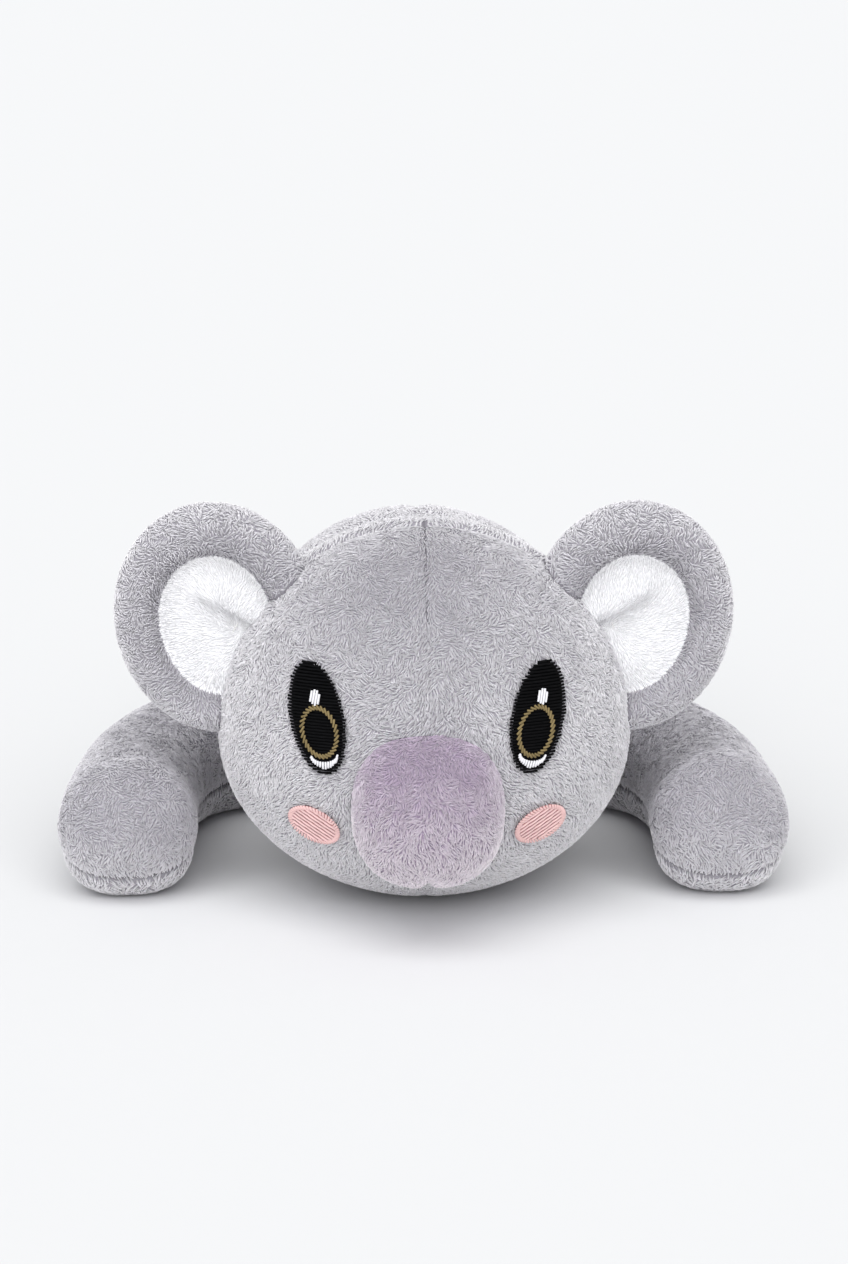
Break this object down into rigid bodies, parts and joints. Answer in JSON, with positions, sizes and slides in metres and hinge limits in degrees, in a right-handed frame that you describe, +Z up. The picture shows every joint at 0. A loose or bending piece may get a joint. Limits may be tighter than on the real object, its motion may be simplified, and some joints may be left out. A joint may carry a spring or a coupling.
{
  "type": "plush koala",
  "caption": "Plush koala lying on its belly: round head with a domed nose, padded ears with pale linings, splayed arms and legs, stitched eyes and cheeks.",
  "frame": {"origin": "middle of the footprint, on the surface that the toy lies on", "axes": "+Y runs from the nose to the rump, +Z is up, and +X is towards the toy's own left paw"},
  "size_m": [0.227, 0.27, 0.1223],
  "materials": {
    "grey_plush": "short curly plush pile, matt",
    "mauve_plush": "short plush pile, matt",
    "white_plush": "very short brushed pile, matt",
    "stuffing": "loose polyester fibre",
    "black_thread": "satin stitch, slight sheen",
    "gold_thread": "satin stitch, slight sheen",
    "white_thread": "satin stitch, slight sheen",
    "pink_thread": "satin stitch, slight sheen"
  },
  "bodies": {
    "torso": {"back_left": "grey_plush", "back_right": "grey_plush", "belly": "grey_plush", "body_stuffing": "stuffing"},
    "head": {"face_left": "grey_plush", "face_right": "grey_plush", "head_back_left": "grey_plush", "head_back_right": "grey_plush", "head_stuffing": "stuffing", "nose_cover": "mauve_plush", "nose_stuffing": "stuffing", "eye_left": "black_thread", "iris_left": "gold_thread", "glint_left": "white_thread", "crescent_left": "white_thread", "cheek_left": "pink_thread", "eye_right": "black_thread", "iris_right": "gold_thread", "glint_right": "white_thread", "crescent_right": "white_thread", "cheek_right": "pink_thread"},
    "ear_left": {"ear_back_left": "grey_plush", "ear_rim_left": "grey_plush", "ear_lining_left": "white_plush", "ear_wadding_left": "stuffing"},
    "ear_right": {"ear_back_right": "grey_plush", "ear_rim_right": "grey_plush", "ear_lining_right": "white_plush", "ear_wadding_right": "stuffing"},
    "arm_left": {"arm_top_left": "grey_plush", "arm_bottom_left": "grey_plush", "arm_stuffing_left": "stuffing"},
    "arm_right": {"arm_top_right": "grey_plush", "arm_bottom_right": "grey_plush", "arm_stuffing_right": "stuffing"},
    "leg_left": {"leg_top_left": "grey_plush", "leg_bottom_left": "grey_plush", "leg_stuffing_left": "stuffing"},
    "leg_right": {"leg_top_right": "grey_plush", "leg_bottom_right": "grey_plush", "leg_stuffing_right": "stuffing"}
  },
  "joints": [
    {"name": "neck_nod", "type": "hinge", "parent": "torso", "child": "head", "pos_m": [0, -0.01199, 0.052], "axis": [-1, 0, 0], "range_deg": [-6, 12], "stiffness_Nm_per_rad": 0.12},
    {"name": "ear_left_fold", "type": "hinge", "parent": "head", "child": "ear_left", "pos_m": [0.05641, -0.05999, 0.084], "axis": [-0.4763, 0, 0.8793], "range_deg": [-25, 25], "stiffness_Nm_per_rad": 0.008},
    {"name": "ear_right_fold", "type": "hinge", "parent": "head", "child": "ear_right", "pos_m": [-0.05641, -0.05999, 0.084], "axis": [-0.4763, 0, -0.8793], "range_deg": [-25, 25], "stiffness_Nm_per_rad": 0.008},
    {"name": "shoulder_left_swing", "type": "hinge", "parent": "torso", "child": "arm_left", "pos_m": [0.04947, 0.04401, 0.021], "axis": [0, 0, 1], "range_deg": [-5, 25], "stiffness_Nm_per_rad": 0.03},
    {"name": "shoulder_right_swing", "type": "hinge", "parent": "torso", "child": "arm_right", "pos_m": [-0.04947, 0.04401, 0.021], "axis": [0, 0, -1], "range_deg": [-5, 25], "stiffness_Nm_per_rad": 0.03},
    {"name": "hip_left_swing", "type": "hinge", "parent": "torso", "child": "leg_left", "pos_m": [0.04286, 0.09201, 0.019], "axis": [0, 0, 1], "range_deg": [-15, 15], "stiffness_Nm_per_rad": 0.03},
    {"name": "hip_right_swing", "type": "hinge", "parent": "torso", "child": "leg_right", "pos_m": [-0.04286, 0.09201, 0.019], "axis": [0, 0, -1], "range_deg": [-15, 15], "stiffness_Nm_per_rad": 0.03}
  ]
}
